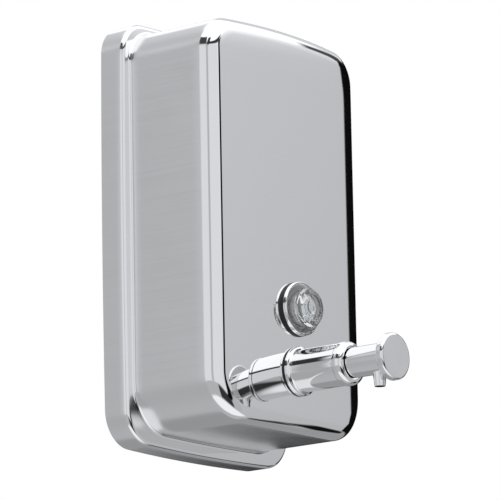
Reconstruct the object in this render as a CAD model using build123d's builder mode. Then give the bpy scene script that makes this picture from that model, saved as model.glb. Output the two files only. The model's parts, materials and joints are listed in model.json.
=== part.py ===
from build123d import *
from math import sqrt
import os

# Wall mounted soap dispenser: a deep-drawn stainless tank with a filler lid on top, a sight glass
# and a push valve in front, hung on a wall bracket.
#
# Millimetres. The wall is the plane Y = 0 and the dispenser stands out from it towards -Y.
# The origin is the centre of the four wall screws, +X is right facing the front, +Z is up.

# ---------------------------------------------------------------------------------------------
# Driving dimensions
# ---------------------------------------------------------------------------------------------

# Tank: a stepped pressing, the body rising out of a wider rear flange
sheet = 0.8
flange_width = 122.0
flange_height = 204.6
flange_depth = 13.9
flange_side_bow = 0.95
flange_end_bow = 1.7
flange_top_radius = 14.4
flange_bottom_radius = 16.0
flange_edge_radius = 2.0
ledge_side = 4.2
ledge_top = 4.2
ledge_bottom = 6.8
ledge_fillet = 1.5
body_end_bow = 1.4
body_top_radius = 15.6
body_bottom_radius = 21.8
body_edge_radius = 6.5
front_depth = 69.0
crown_height = 5.4

# Back plate and wall bracket
back_plate_thickness = 1.0
weld_gap = 0.3
bracket_thickness = 1.5
bracket_width = 90.0
bracket_height = 150.0
bracket_corner = 6.0
screw_hole_radius = 2.6
screw_spacing_x = 60.0
screw_spacing_z = 120.0
hook_width = 14.0
hook_spacing = 34.0
hook_reach = 5.0
hook_rise = 6.0
hook_seat_heights = (38.0, -42.0)
rail_thickness = 1.2
rail_width = 62.0
rail_lift = 2.0
rail_weld_leg = 9.0
hook_play = 0.3
lug_width = 20.0
lug_reach = 11.0
lug_gap = 2.2

# Retaining screw through the top of the flange, M4
retaining_radius = 2.0
retaining_head_radius = 3.7
retaining_head_height = 2.2
retaining_head_round = 1.3
retaining_socket_radius = 1.4
retaining_socket_depth = 1.3
retaining_point_chamfer = 0.4
retaining_length = 7.0
retaining_station = 7.0
screw_clearance = 0.25
thread_gap = 0.03

# Filler mouth, lid and hinge
mouth_width = 50.0
mouth_depth = 22.0
mouth_back = 27.0
mouth_corner = 5.0
neck_wall = 1.2
neck_drop = 6.5
frame_rise = 0.8
frame_side = 5.0
frame_front = 4.0
frame_back = 9.5
lid_overlap = 4.0
lid_front_overlap = 3.2
lid_gap = 0.35
lid_thickness = 1.4
lid_sheet = 0.8
lid_rim = 1.4
lid_edge_radius = 0.6
gasket_seat_gap = 0.05
hinge_setback = 6.0
hinge_height = 2.6
knuckle_radius = 2.1
knuckle_gap = 0.4
lid_knuckle_length = 19.4
frame_knuckle_length = 8.0
pin_radius = 1.0
running_clearance = 0.05

# Cam lock in the lid
lock_barrel_radius = 5.0
lock_head_radius = 6.5
lock_head_height = 0.9
lock_head_edge_radius = 0.45
lock_length = 9.0
lock_nut_width = 14.0
lock_nut_thickness = 1.8
plug_radius = 3.0
plug_stand = 0.3
key_slot_length = 4.2
key_slot_width = 0.9
key_slot_depth = 1.4
cam_length = 14.0
cam_width = 7.0
cam_thickness = 1.2
cam_screw_radius = 1.5
cam_screw_head = 2.6
cam_screw_head_height = 1.2
cam_screw_edge_radius = 0.6
cam_screw_grip = 3.5
cam_screw_hole = 4.0

# Heights of the two front fittings above the ends of the flange's lower edge
sight_lift = 64.0
valve_lift = 33.9

# Sight glass
sight_shank_radius = 9.0
sight_hole_gap = 0.2
sight_ring_radius = 13.1
sight_ring_bore = 12.1
sight_ring_thickness = 1.3
sight_ring_edge_radius = 0.4
sight_flange_radius = 13.0
sight_flange_thickness = 1.9
sight_flange_edge_radius = 0.6
sight_dome_base = 12.3
sight_dome_tip = 9.2
sight_dome_edge_radius = 1.8
sight_projection = 9.0
sight_bore_radius = 6.5
sight_inner_bore_radius = 4.2
sight_wall = 2.0
sight_shank_length = 9.0
sight_nut_radius = 12.0
sight_nut_thickness = 3.5
inner_washer_thickness = 1.2

# Push valve, stations measured forward of the crown
valve_gasket_inset = 0.1
valve_gasket_thickness = 0.6
valve_flange_step = 1.7
valve_flange_thickness = 1.6
valve_flange_edge_radius = 0.9
valve_barrel_radius = 10.3
valve_barrel_fillet = 1.4
barrel_front = 27.2
collar_front = 32.6
collar_step = 0.3
collar_rim_radius = 2.7
collar_groove = 0.5
shank_radius = 8.0
shank_hole_gap = 0.2
shank_length = 20.0
valve_nut_width = 24.0
valve_nut_thickness = 5.0
spring_chamber_radius = 8.2
spring_seat = 1.5
pump_bore_radius = 5.5
stem_radius = 7.25
stem_bore_radius = 3.2
stem_guide_radius = 8.1
stem_guide_length = 2.8
stem_rear = 18.0
bush_rear = 21.0
press_travel = 9.5
nozzle_collar_gap = 2.3
rod_radius = 3.5
rod_bore_radius = 1.5
piston_front = -2.0
piston_length = 6.0
piston_gap = 0.05
seal_section = 1.6
seal_edge_radius = 0.5
button_back = 53.6
button_thickness = 4.05
button_radius = 11.2
button_edge_radius = 1.3
button_back_radius = 0.7
button_spigot_length = 3.4
nozzle_top_radius = 3.3
nozzle_flare = 0.4
nozzle_seat_gap = 0.3
nozzle_tip_radius = 2.55
nozzle_bore_radius = 1.4
nozzle_drop = 5.9
nozzle_shank_radius = 2.2
return_wire = 1.0
return_coils = 5.5
return_coil_radius = 6.4
outlet_seat = 30.0
outlet_ball_radius = 2.2
outlet_wire = 0.4
outlet_coils = 6
outlet_coil_radius = 2.3

# Inlet below the pump
elbow_radius = 10.0
elbow_edge_radius = 2.0
elbow_wall = 2.0
elbow_overlap = 6.0
elbow_rear = 28.5
elbow_leg_station = -23.5
elbow_leg_radius = 4.8
elbow_leg_drop = 15.0
elbow_passage_radius = 4.0
ball_chamber_radius = 3.3
inlet_ball_radius = 2.5
inlet_seat_radius = 1.6
inlet_seat_drop = 12.5
ball_rest_gap = 0.1
inlet_lift = 1.8
ball_stop_radius = 0.6
tube_radius = 3.4
tube_wall = 0.9
tube_socket = 3.0
tube_floor_gap = 2.5
tube_notch_radius = 2.4

# How far a cut runs past the sheet, and a gasket blank behind the crown, before trimming
through = 4.0
bedding = 1.0

# ---------------------------------------------------------------------------------------------
# Worked-out sizes
# ---------------------------------------------------------------------------------------------

body_width = flange_width - 2 * ledge_side
body_height = flange_height - ledge_top - ledge_bottom
body_lift = (ledge_bottom - ledge_top) / 2
crown_radius = ((body_width / 2) ** 2 + crown_height**2) / (2 * crown_height)
body_top = body_lift + body_height / 2 + body_end_bow
body_floor = body_lift - body_height / 2 - body_end_bow + sheet
flange_top = flange_height / 2 + flange_end_bow
back_plate_front = flange_depth - sheet
frame_top = body_top + frame_rise
neck_bottom = frame_top - neck_drop
mouth_front = mouth_back + mouth_depth
hinge_station = mouth_back - hinge_setback
hinge_axis_height = frame_top + hinge_height
lid_bottom = frame_top + lid_gap
lid_top = lid_bottom + lid_thickness
lid_ceiling = lid_top - lid_sheet
lid_front = mouth_front + lid_front_overlap
lid_back = hinge_station + knuckle_radius + knuckle_gap
lid_width = mouth_width + 2 * lid_overlap
lock_station = mouth_back + mouth_depth / 2
lock_bottom = lid_top - lock_length
sight_height = sight_lift - flange_height / 2
valve_height = valve_lift - flange_height / 2
valve_flange_radius = valve_barrel_radius + valve_flange_step
valve_gasket_radius = valve_flange_radius - valve_gasket_inset
collar_radius = valve_barrel_radius + collar_step
nozzle_station = collar_front + press_travel + nozzle_collar_gap + nozzle_top_radius


def sagitta(radius, half_chord):
    """Height of an arc above its chord."""
    return radius - sqrt(radius**2 - half_chord**2)


def front_plane(station, height):
    """Plane parallel to the wall, the given distance in front of the crown, facing the front."""
    return Plane(origin=(0, -front_depth - station, height), x_dir=(1, 0, 0), z_dir=(0, -1, 0))


def axis_plane(height):
    """Plane through a front-to-back axis: local x runs forward from the crown, local y up."""
    return Plane(origin=(0, -front_depth, height), x_dir=(0, -1, 0), z_dir=(-1, 0, 0))


def forward_axis(height):
    """Front-to-back axis at a height, pointing out of the front."""
    return Axis((0, -front_depth, height), (0, -1, 0))


def bowed_panel(width, height, side_bow, end_bow, top_radius, bottom_radius, inset):
    """Rounded rectangle with bulging sides, shrunk all round by inset."""
    right, top = width / 2 - inset, height / 2 - inset
    with BuildSketch() as panel:
        with BuildLine():
            ThreePointArc((-right, top), (0, top + end_bow), (right, top))
            ThreePointArc((-right, -top), (0, -top - end_bow), (right, -top))
            for side in (-right, right):
                if side_bow:
                    bulge = side + side_bow * side / right
                    ThreePointArc((side, top), (bulge, 0), (side, -top))
                else:
                    Line((side, top), (side, -top))
        make_face()
        fillet(panel.vertices().group_by(Axis.Y)[0], bottom_radius - inset)
        fillet(panel.vertices().group_by(Axis.Y)[-1], top_radius - inset)
    return panel.sketch


def flange_panel(inset):
    """Outline of the rear flange."""
    return bowed_panel(
        flange_width,
        flange_height,
        flange_side_bow,
        flange_end_bow,
        flange_top_radius,
        flange_bottom_radius,
        inset,
    )


def body_panel(inset):
    """Outline of the tank's body."""
    return bowed_panel(
        body_width, body_height, 0, body_end_bow, body_top_radius, body_bottom_radius, inset
    )


def tank_form(inset):
    """Body and rear flange as one solid, every face but the open back moved inwards by inset."""
    with BuildPart() as body:
        with BuildSketch(Plane.XZ):
            with Locations((0, body_lift)):
                add(body_panel(inset))
        extrude(amount=front_depth + through)
        with BuildSketch(Plane.XY.offset(-flange_height)):
            with Locations((0, crown_radius - front_depth)):
                Circle(crown_radius - inset)
        extrude(amount=2 * flange_height, mode=Mode.INTERSECT)
        fillet(body.faces().sort_by(Axis.Y)[0].edges(), body_edge_radius - inset)
    with BuildPart() as form:
        with BuildSketch(Plane.XZ):
            add(flange_panel(inset))
        extrude(amount=flange_depth - inset)
        fillet(form.faces().sort_by(Axis.Y)[0].edges(), flange_edge_radius - inset)
        add(body.part)
        ledge = form.faces().filter_by(Axis.Y).sort_by(Axis.Y)[0]
        fillet(ledge.inner_wires()[0].edges(), ledge_fillet + inset)
    return form.part


def plan_panel(width, front, back, corner):
    """Rounded rectangle seen from above, between two distances from the wall."""
    with BuildSketch() as panel:
        with Locations((0, -(front + back) / 2)):
            RectangleRounded(width, front - back, corner)
    return panel.sketch


tank_outside = tank_form(0)
tank_inside = tank_form(sheet)

# ---------------------------------------------------------------------------------------------
# Tank
# ---------------------------------------------------------------------------------------------

with BuildPart() as tank_shell:
    add(tank_outside)
    add(tank_inside, mode=Mode.SUBTRACT)
    with BuildSketch(Plane.XY.offset(neck_bottom)):
        add(plan_panel(
            mouth_width + 2 * neck_wall,
            mouth_front + neck_wall,
            mouth_back - neck_wall,
            mouth_corner + neck_wall,
        ))
    extrude(amount=neck_drop + through, mode=Mode.SUBTRACT)
    with BuildSketch(front_plane(-through, sight_height)):
        Circle(sight_shank_radius + sight_hole_gap)
    extrude(amount=2 * through, mode=Mode.SUBTRACT)
    with BuildSketch(front_plane(-through, valve_height)):
        Circle(shank_radius + shank_hole_gap)
    extrude(amount=2 * through, mode=Mode.SUBTRACT)
    with BuildSketch(Plane.XY.offset(flange_top - through)):
        with Locations((0, -retaining_station)):
            Circle(retaining_radius + screw_clearance)
    extrude(amount=2 * through, mode=Mode.SUBTRACT)

with BuildPart() as back_plate:
    with BuildSketch(Plane.XZ.offset(back_plate_front - back_plate_thickness)):
        add(flange_panel(flange_edge_radius + weld_gap))
    extrude(amount=back_plate_thickness)

# ---------------------------------------------------------------------------------------------
# Wall bracket and the rails that hang on it
# ---------------------------------------------------------------------------------------------

hook_front = bracket_thickness + hook_reach
plate_back = back_plate_front - back_plate_thickness
lug_height = flange_top - sheet - lug_gap

with BuildPart() as wall_bracket:
    with BuildSketch(Plane.XZ):
        RectangleRounded(bracket_width, bracket_height, bracket_corner)
        with Locations((0, lug_height / 2)):
            Rectangle(lug_width, lug_height)
        with GridLocations(screw_spacing_x, screw_spacing_z, 2, 2):
            Circle(screw_hole_radius, mode=Mode.SUBTRACT)
        for seat in hook_seat_heights:
            with Locations((0, seat + (hook_rise + hook_reach) / 2)):
                with GridLocations(hook_spacing, 1, 2, 1):
                    Rectangle(hook_width, hook_rise + hook_reach, mode=Mode.SUBTRACT)
    extrude(amount=bracket_thickness)
    for seat in hook_seat_heights:
        for side in (-1, 1):
            left = side * hook_spacing / 2 - hook_width / 2
            with BuildSketch(Plane.YZ.offset(left)):
                with BuildLine():
                    Polyline(
                        (0, seat - bracket_thickness),
                        (-hook_front, seat - bracket_thickness),
                        (-hook_front, seat + hook_rise),
                        (-hook_front + bracket_thickness, seat + hook_rise),
                        (-hook_front + bracket_thickness, seat),
                        (0, seat),
                        close=True,
                    )
                make_face()
            extrude(amount=hook_width)
    with BuildSketch(Plane.YZ.offset(-lug_width / 2)):
        with Locations((-lug_reach / 2, lug_height - bracket_thickness / 2)):
            Rectangle(lug_reach, bracket_thickness)
    extrude(amount=lug_width)
    with BuildSketch(Plane.XY.offset(lug_height - 2 * bracket_thickness)):
        with Locations((0, -retaining_station)):
            Circle(retaining_radius + thread_gap)
    extrude(amount=3 * bracket_thickness, mode=Mode.SUBTRACT)


def hanger_rail(seat):
    """Z-section strip welded to the back plate, its lower lip standing behind the hooks."""
    lip_front = hook_front - bracket_thickness - hook_play
    web_bottom = seat + hook_rise + rail_lift
    with BuildPart() as rail:
        with BuildSketch(Plane.YZ.offset(-rail_width / 2)):
            with BuildLine():
                Polyline(
                    (-lip_front, seat),
                    (-lip_front, web_bottom),
                    (-plate_back, web_bottom),
                    (-plate_back, web_bottom + rail_weld_leg),
                    (-plate_back + rail_thickness, web_bottom + rail_weld_leg),
                    (-plate_back + rail_thickness, web_bottom + rail_thickness),
                    (-lip_front + rail_thickness, web_bottom + rail_thickness),
                    (-lip_front + rail_thickness, seat),
                    close=True,
                )
            make_face()
        extrude(amount=rail_width)
    return rail.part


with BuildPart() as upper_hanger_rail:
    add(hanger_rail(hook_seat_heights[0]))

with BuildPart() as lower_hanger_rail:
    add(hanger_rail(hook_seat_heights[1]))

with BuildPart() as retaining_screw:
    with BuildSketch(Plane.XY.offset(flange_top)):
        with Locations((0, -retaining_station)):
            Circle(retaining_head_radius)
    extrude(amount=retaining_head_height)
    fillet(retaining_screw.edges().group_by(Axis.Z)[-1], retaining_head_round)
    with BuildSketch(Plane.XY.offset(flange_top + retaining_head_height)):
        with Locations((0, -retaining_station)):
            RegularPolygon(retaining_socket_radius, 6)
    extrude(amount=-retaining_socket_depth, mode=Mode.SUBTRACT)
    with BuildSketch(Plane.XY.offset(flange_top)):
        with Locations((0, -retaining_station)):
            Circle(retaining_radius)
    extrude(amount=-retaining_length)
    chamfer(retaining_screw.edges().group_by(Axis.Z)[0], retaining_point_chamfer)

# ---------------------------------------------------------------------------------------------
# Filler mouth and hinged lid
# ---------------------------------------------------------------------------------------------

frame_width = mouth_width + 2 * frame_side
frame_knuckle_start = lid_knuckle_length / 2 + knuckle_gap
hinge_axis = Axis((0, -hinge_station, hinge_axis_height), (1, 0, 0))

with BuildPart() as filler_frame:
    with BuildSketch(Plane.XY.offset(neck_bottom)):
        add(plan_panel(
            frame_width, mouth_front + frame_front, mouth_back - frame_back, mouth_corner
        ))
    extrude(amount=neck_drop)
    add(tank_outside, mode=Mode.SUBTRACT)
    with BuildSketch(Plane.XY.offset(neck_bottom)):
        add(plan_panel(
            mouth_width + 2 * neck_wall,
            mouth_front + neck_wall,
            mouth_back - neck_wall,
            mouth_corner + neck_wall,
        ))
    extrude(amount=neck_drop)
    with BuildSketch(Plane.XY.offset(neck_bottom)):
        add(plan_panel(mouth_width, mouth_front, mouth_back, mouth_corner))
    extrude(amount=neck_drop, mode=Mode.SUBTRACT)
    for start in (frame_knuckle_start, -frame_knuckle_start - frame_knuckle_length):
        with BuildSketch(Plane.YZ.offset(start)):
            with Locations((-hinge_station, hinge_axis_height)):
                Circle(knuckle_radius)
            with Locations((-hinge_station, hinge_axis_height - hinge_height / 2)):
                Rectangle(2 * knuckle_radius, hinge_height)
            with Locations((-hinge_station, hinge_axis_height)):
                Circle(pin_radius, mode=Mode.SUBTRACT)
        extrude(amount=frame_knuckle_length)

with BuildPart() as lid_gasket:
    with BuildSketch(Plane.XY.offset(frame_top + gasket_seat_gap)):
        add(plan_panel(
            lid_width - 2 * lid_rim, lid_front - lid_rim, lid_back + lid_rim, mouth_corner
        ))
        add(plan_panel(mouth_width, mouth_front, mouth_back, mouth_corner), mode=Mode.SUBTRACT)
    extrude(amount=lid_ceiling - frame_top - gasket_seat_gap)

with BuildPart() as filler_lid:
    with BuildSketch(Plane.XY.offset(lid_bottom)):
        add(plan_panel(lid_width, lid_front, lid_back, mouth_corner))
    extrude(amount=lid_thickness)
    fillet(filler_lid.faces().sort_by(Axis.Z)[-1].edges(), lid_edge_radius)
    with BuildSketch(Plane.XY.offset(lid_bottom)):
        add(plan_panel(
            lid_width - 2 * lid_rim, lid_front - lid_rim, lid_back + lid_rim, mouth_corner
        ))
    extrude(amount=lid_ceiling - lid_bottom, mode=Mode.SUBTRACT)
    with BuildSketch(Plane.XY.offset(lid_bottom)):
        with Locations((0, -lock_station)):
            Circle(lock_barrel_radius)
    extrude(amount=lid_thickness, mode=Mode.SUBTRACT)
    with BuildSketch(Plane.YZ.offset(-lid_knuckle_length / 2)):
        with Locations((-hinge_station, hinge_axis_height)):
            Circle(knuckle_radius)
        with BuildLine():
            Polyline(
                (-hinge_station, hinge_axis_height),
                (-lid_back - lid_rim / 2, hinge_axis_height - knuckle_radius + lid_gap),
                (-lid_back - lid_rim / 2, lid_bottom),
                (-lid_back, lid_bottom),
                (-hinge_station, hinge_axis_height - knuckle_radius),
                close=True,
            )
        make_face()
        with Locations((-hinge_station, hinge_axis_height)):
            Circle(pin_radius + running_clearance, mode=Mode.SUBTRACT)
    extrude(amount=lid_knuckle_length)

with BuildPart() as hinge_pin:
    pin_half = frame_knuckle_start + frame_knuckle_length
    with BuildSketch(Plane.YZ.offset(-pin_half)):
        with Locations((-hinge_station, hinge_axis_height)):
            Circle(pin_radius)
    extrude(amount=2 * pin_half)

# Cam lock: the barrel is clamped in the lid, the plug and cam turn in it
with BuildPart() as lock_barrel:
    with BuildSketch(Plane.XY.offset(lid_top)):
        with Locations((0, -lock_station)):
            Circle(lock_head_radius)
    extrude(amount=lock_head_height)
    fillet(lock_barrel.edges().group_by(Axis.Z)[-1], lock_head_edge_radius)
    with BuildSketch(Plane.XY.offset(lock_bottom)):
        with Locations((0, -lock_station)):
            Circle(lock_barrel_radius)
    extrude(amount=lock_length)
    with BuildSketch(Plane.XY.offset(lock_bottom)):
        with Locations((0, -lock_station)):
            Circle(plug_radius + running_clearance)
    extrude(amount=lock_length + lock_head_height, mode=Mode.SUBTRACT)

with BuildPart() as lock_nut:
    with BuildSketch(Plane.XY.offset(lid_ceiling)):
        with Locations((0, -lock_station)):
            RegularPolygon(lock_nut_width / 2, 6, major_radius=False)
            Circle(lock_barrel_radius, mode=Mode.SUBTRACT)
    extrude(amount=-lock_nut_thickness)

plug_bottom = lock_bottom - plug_stand
with BuildPart() as lock_plug:
    with BuildSketch(Plane.XY.offset(plug_bottom)):
        with Locations((0, -lock_station)):
            Circle(plug_radius)
    extrude(amount=lid_top + lock_head_height - plug_bottom)
    with BuildSketch(Plane.XY.offset(lid_top + lock_head_height)):
        with Locations((0, -lock_station)):
            Rectangle(key_slot_length, key_slot_width)
    extrude(amount=-key_slot_depth, mode=Mode.SUBTRACT)
    with BuildSketch(Plane.XY.offset(plug_bottom)):
        with Locations((0, -lock_station)):
            Circle(cam_screw_radius)
    extrude(amount=cam_screw_hole, mode=Mode.SUBTRACT)

with BuildPart() as lock_cam:
    with BuildSketch(Plane.XY.offset(plug_bottom)):
        with Locations((cam_length / 2 - cam_width / 4, -lock_station)):
            SlotOverall(cam_length + cam_width / 2, cam_width)
        with Locations((0, -lock_station)):
            Circle(cam_screw_radius, mode=Mode.SUBTRACT)
    extrude(amount=-cam_thickness)

with BuildPart() as cam_screw:
    with BuildSketch(Plane.XY.offset(plug_bottom - cam_thickness)):
        with Locations((0, -lock_station)):
            Circle(cam_screw_head)
    extrude(amount=-cam_screw_head_height)
    fillet(cam_screw.edges().group_by(Axis.Z)[0], cam_screw_edge_radius)
    with BuildSketch(Plane.XY.offset(plug_bottom - cam_thickness)):
        with Locations((0, -lock_station)):
            Circle(cam_screw_radius)
    extrude(amount=cam_thickness + cam_screw_grip)

# ---------------------------------------------------------------------------------------------
# Sight glass
# ---------------------------------------------------------------------------------------------

# The washers inside lie against the hollow side of the crown, so their flat side stands off it
washer_back = -sheet - sagitta(crown_radius, sight_nut_radius) - inner_washer_thickness
sight_flange_back = sight_ring_thickness
sight_flange_front = sight_flange_back + sight_flange_thickness

with BuildPart() as sight_gasket:
    with BuildSketch(front_plane(-bedding, sight_height)):
        Circle(sight_ring_radius)
        Circle(sight_ring_bore, mode=Mode.SUBTRACT)
    extrude(amount=bedding + sight_ring_thickness)
    add(tank_outside, mode=Mode.SUBTRACT)
    front_rims = sight_gasket.edges().group_by(Axis.Y)[0].sort_by(SortBy.RADIUS)
    fillet(front_rims[-1], sight_ring_edge_radius)

with BuildPart() as sight_lens:
    with BuildSketch(front_plane(-sight_shank_length, sight_height)):
        Circle(sight_shank_radius)
    extrude(amount=sight_shank_length + sight_flange_back)
    with BuildSketch(front_plane(sight_flange_back, sight_height)):
        Circle(sight_flange_radius)
    extrude(amount=sight_flange_thickness)
    fillet(sight_lens.edges().group_by(Axis.Y)[0], sight_flange_edge_radius)
    with BuildSketch(front_plane(sight_flange_front, sight_height)):
        Circle(sight_dome_base)
    with BuildSketch(front_plane(sight_projection, sight_height)):
        Circle(sight_dome_tip)
    loft()
    fillet(sight_lens.edges().group_by(Axis.Y)[0], sight_dome_edge_radius)
    with BuildSketch(front_plane(-sight_shank_length, sight_height)):
        Circle(sight_bore_radius)
    extrude(amount=sight_shank_length + sight_flange_front, mode=Mode.SUBTRACT)
    with BuildSketch(front_plane(-sight_shank_length, sight_height)):
        Circle(sight_inner_bore_radius)
    extrude(amount=sight_shank_length + sight_projection - sight_wall, mode=Mode.SUBTRACT)

with BuildPart() as sight_washer:
    with BuildSketch(front_plane(washer_back, sight_height)):
        Circle(sight_nut_radius)
        Circle(sight_shank_radius, mode=Mode.SUBTRACT)
    extrude(amount=-washer_back)
    add(tank_inside, mode=Mode.INTERSECT)

with BuildPart() as sight_nut:
    with BuildSketch(front_plane(washer_back - sight_nut_thickness, sight_height)):
        RegularPolygon(sight_nut_radius, 8)
        Circle(sight_shank_radius, mode=Mode.SUBTRACT)
    extrude(amount=sight_nut_thickness)

# ---------------------------------------------------------------------------------------------
# Push valve, outside
# ---------------------------------------------------------------------------------------------

valve_flange_front = valve_gasket_thickness + valve_flange_thickness

with BuildPart() as valve_gasket:
    with BuildSketch(front_plane(-bedding, valve_height)):
        Circle(valve_gasket_radius)
        Circle(shank_radius, mode=Mode.SUBTRACT)
    extrude(amount=bedding + valve_gasket_thickness)
    add(tank_outside, mode=Mode.SUBTRACT)

with BuildPart() as valve_body:
    with BuildSketch(axis_plane(valve_height)):
        with BuildLine():
            Polyline(
                (-shank_length, pump_bore_radius),
                (-shank_length, shank_radius),
                (valve_gasket_thickness, shank_radius),
                (valve_gasket_thickness, valve_flange_radius),
                (valve_flange_front, valve_flange_radius),
                (valve_flange_front, valve_barrel_radius),
                (barrel_front, valve_barrel_radius),
                (barrel_front, spring_chamber_radius),
                (spring_seat, spring_chamber_radius),
                (spring_seat, pump_bore_radius),
                close=True,
            )
        make_face()
    revolve(axis=forward_axis(valve_height))
    flange_root = valve_body.edges().filter_by(GeomType.CIRCLE).filter_by(
        lambda rim: abs(rim.radius - valve_barrel_radius) < 0.01
    ).sort_by(Axis.Y)[-1]
    fillet(flange_root, valve_barrel_fillet)
    flange_rim = valve_body.edges().filter_by(GeomType.CIRCLE).filter_by(
        lambda rim: abs(rim.radius - valve_flange_radius) < 0.01
    ).sort_by(Axis.Y)[0]
    fillet(flange_rim, valve_flange_edge_radius)

with BuildPart() as stem_bush:
    with BuildSketch(front_plane(bush_rear, valve_height)):
        Circle(spring_chamber_radius)
        Circle(stem_radius + running_clearance, mode=Mode.SUBTRACT)
    extrude(amount=barrel_front - bush_rear)

with BuildPart() as valve_collar:
    with BuildSketch(axis_plane(valve_height)):
        with BuildLine():
            Polyline(
                (barrel_front, stem_radius + running_clearance),
                (barrel_front, valve_barrel_radius - collar_groove),
                (barrel_front + collar_groove, valve_barrel_radius - collar_groove),
                (barrel_front + collar_groove, collar_radius),
                (collar_front, collar_radius),
                (collar_front, stem_radius + running_clearance),
                close=True,
            )
        make_face()
    revolve(axis=forward_axis(valve_height))
    collar_rim = valve_collar.edges().filter_by(GeomType.CIRCLE).filter_by(
        lambda rim: abs(rim.radius - collar_radius) < 0.01
    )
    fillet(collar_rim.sort_by(Axis.Y)[0], collar_rim_radius)
    fillet(collar_rim.sort_by(Axis.Y)[-1], collar_groove / 2)

# ---------------------------------------------------------------------------------------------
# Push valve, moving parts
# ---------------------------------------------------------------------------------------------

with BuildPart() as plunger_stem:
    with BuildSketch(axis_plane(valve_height)):
        with BuildLine():
            Polyline(
                (piston_front - piston_length, rod_bore_radius),
                (piston_front - piston_length, rod_radius),
                (stem_rear, rod_radius),
                (stem_rear, stem_guide_radius),
                (stem_rear + stem_guide_length, stem_guide_radius),
                (stem_rear + stem_guide_length, stem_radius),
                (button_back, stem_radius),
                (button_back, stem_bore_radius),
                (outlet_seat + outlet_ball_radius, stem_bore_radius),
                (outlet_seat, rod_bore_radius),
                close=True,
            )
        make_face()
    revolve(axis=forward_axis(valve_height))
    with BuildSketch(Plane.XY.offset(valve_height)):
        with Locations((0, -front_depth - nozzle_station)):
            Circle(nozzle_shank_radius)
    extrude(amount=-2 * stem_radius, mode=Mode.SUBTRACT)

with BuildPart() as push_button:
    with BuildSketch(front_plane(button_back, valve_height)):
        Circle(button_radius)
    extrude(amount=button_thickness)
    fillet(push_button.edges().group_by(Axis.Y)[0], button_edge_radius)
    fillet(push_button.edges().group_by(Axis.Y)[-1], button_back_radius)
    with BuildSketch(front_plane(button_back, valve_height)):
        Circle(stem_bore_radius)
    extrude(amount=-button_spigot_length)

nozzle_tip_height = valve_height - stem_radius - nozzle_drop
nozzle_top_height = valve_height - stem_bore_radius - nozzle_seat_gap

with BuildPart() as spout_nozzle:
    with BuildSketch(Plane.XY.offset(nozzle_tip_height)):
        with Locations((0, -front_depth - nozzle_station)):
            Circle(nozzle_tip_radius)
    with BuildSketch(Plane.XY.offset(nozzle_top_height)):
        with Locations((0, -front_depth - nozzle_station)):
            Circle(nozzle_top_radius + nozzle_flare)
    loft()
    with BuildSketch(front_plane(0, valve_height)):
        Circle(stem_radius)
    extrude(amount=button_back, mode=Mode.SUBTRACT)
    with BuildSketch(Plane.XY.offset(nozzle_tip_height)):
        with Locations((0, -front_depth - nozzle_station)):
            Circle(nozzle_shank_radius)
    extrude(amount=nozzle_top_height - nozzle_tip_height)
    with BuildSketch(Plane.XY.offset(nozzle_tip_height)):
        with Locations((0, -front_depth - nozzle_station)):
            Circle(nozzle_bore_radius)
    extrude(amount=nozzle_drop + 2 * stem_radius, mode=Mode.SUBTRACT)

with BuildPart() as piston:
    with BuildSketch(front_plane(piston_front - piston_length, valve_height)):
        Circle(pump_bore_radius - piston_gap)
        Circle(rod_radius, mode=Mode.SUBTRACT)
    extrude(amount=piston_length)
    with BuildSketch(front_plane(piston_front - piston_length / 2, valve_height)):
        Circle(pump_bore_radius)
        Circle(pump_bore_radius - seal_section, mode=Mode.SUBTRACT)
    extrude(amount=seal_section / 2, both=True, mode=Mode.SUBTRACT)

with BuildPart() as piston_seal:
    with BuildSketch(front_plane(piston_front - piston_length / 2, valve_height)):
        Circle(pump_bore_radius - piston_gap / 2)
        Circle(pump_bore_radius - seal_section, mode=Mode.SUBTRACT)
    extrude(amount=seal_section / 2, both=True)
    seal_rims = piston_seal.edges().filter_by(GeomType.CIRCLE).sort_by(SortBy.RADIUS)
    fillet(seal_rims[-2:], seal_edge_radius)


def coil_spring(start, length, coil_radius, wire, coils):
    """Round-wire spring on the valve's axis between two stations."""
    height = length - 2 * wire
    with BuildPart() as spring:
        with BuildLine() as turns:
            Helix(
                pitch=height / coils,
                height=height,
                radius=coil_radius,
                center=(0, -front_depth - start - wire, valve_height),
                direction=(0, -1, 0),
            )
        with BuildSketch(Plane(origin=turns.line @ 0, z_dir=turns.line % 0)):
            Circle(wire / 2)
        sweep()
    return spring.part


with BuildPart() as return_spring:
    add(coil_spring(
        spring_seat, stem_rear - spring_seat, return_coil_radius, return_wire, return_coils
    ))

outlet_ball_station = outlet_seat + outlet_ball_radius + ball_rest_gap
outlet_spring_start = outlet_ball_station + outlet_ball_radius
outlet_spring_end = button_back - button_spigot_length

with BuildPart() as outlet_ball:
    with Locations((0, -front_depth - outlet_ball_station, valve_height)):
        Sphere(outlet_ball_radius)

with BuildPart() as outlet_spring:
    add(coil_spring(
        outlet_spring_start,
        outlet_spring_end - outlet_spring_start,
        outlet_coil_radius,
        outlet_wire,
        outlet_coils,
    ))

# ---------------------------------------------------------------------------------------------
# Push valve, inside the tank
# ---------------------------------------------------------------------------------------------

valve_washer_radius = valve_nut_width / 2
valve_washer_back = -sheet - sagitta(crown_radius, valve_washer_radius) - inner_washer_thickness

with BuildPart() as valve_washer:
    with BuildSketch(front_plane(valve_washer_back, valve_height)):
        Circle(valve_washer_radius)
        Circle(shank_radius, mode=Mode.SUBTRACT)
    extrude(amount=-valve_washer_back)
    add(tank_inside, mode=Mode.INTERSECT)

with BuildPart() as valve_nut:
    with BuildSketch(front_plane(valve_washer_back - valve_nut_thickness, valve_height)):
        RegularPolygon(valve_nut_width / 2, 6, major_radius=False)
        Circle(shank_radius, mode=Mode.SUBTRACT)
    extrude(amount=valve_nut_thickness)

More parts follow.
